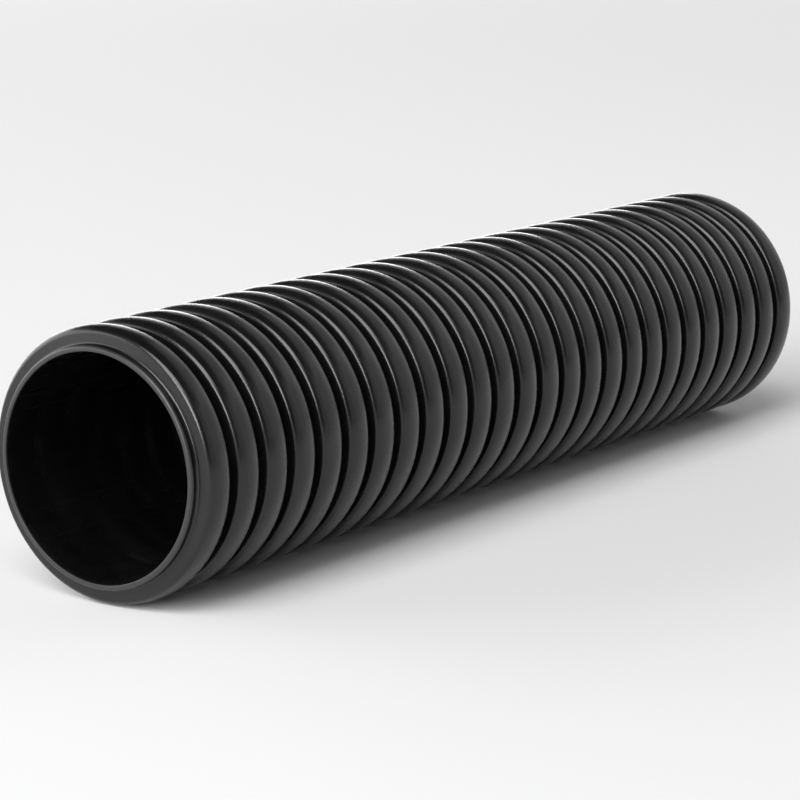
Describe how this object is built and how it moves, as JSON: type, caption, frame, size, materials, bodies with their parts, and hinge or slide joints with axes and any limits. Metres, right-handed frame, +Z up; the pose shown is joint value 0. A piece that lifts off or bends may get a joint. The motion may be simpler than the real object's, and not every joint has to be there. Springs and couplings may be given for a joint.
{
  "type": "corrugated pipe",
  "caption": "Black double-wall corrugated pipe cut to a short length, with hollow rings outside, a smooth bore and both ends open.",
  "frame": {"origin": "on the ground plane, under the middle of the pipe as it lies", "axes": "+X along the pipe's axis, +Z up"},
  "size_m": [0.4674, 0.11, 0.11],
  "materials": {
    "black_polyethylene": "carbon-black polyethylene with a soft satin sheen from the mould, and plain sawn ends"
  },
  "bodies": {
    "root": {"corrugated_pipe": "black_polyethylene"}
  },
  "joints": []
}
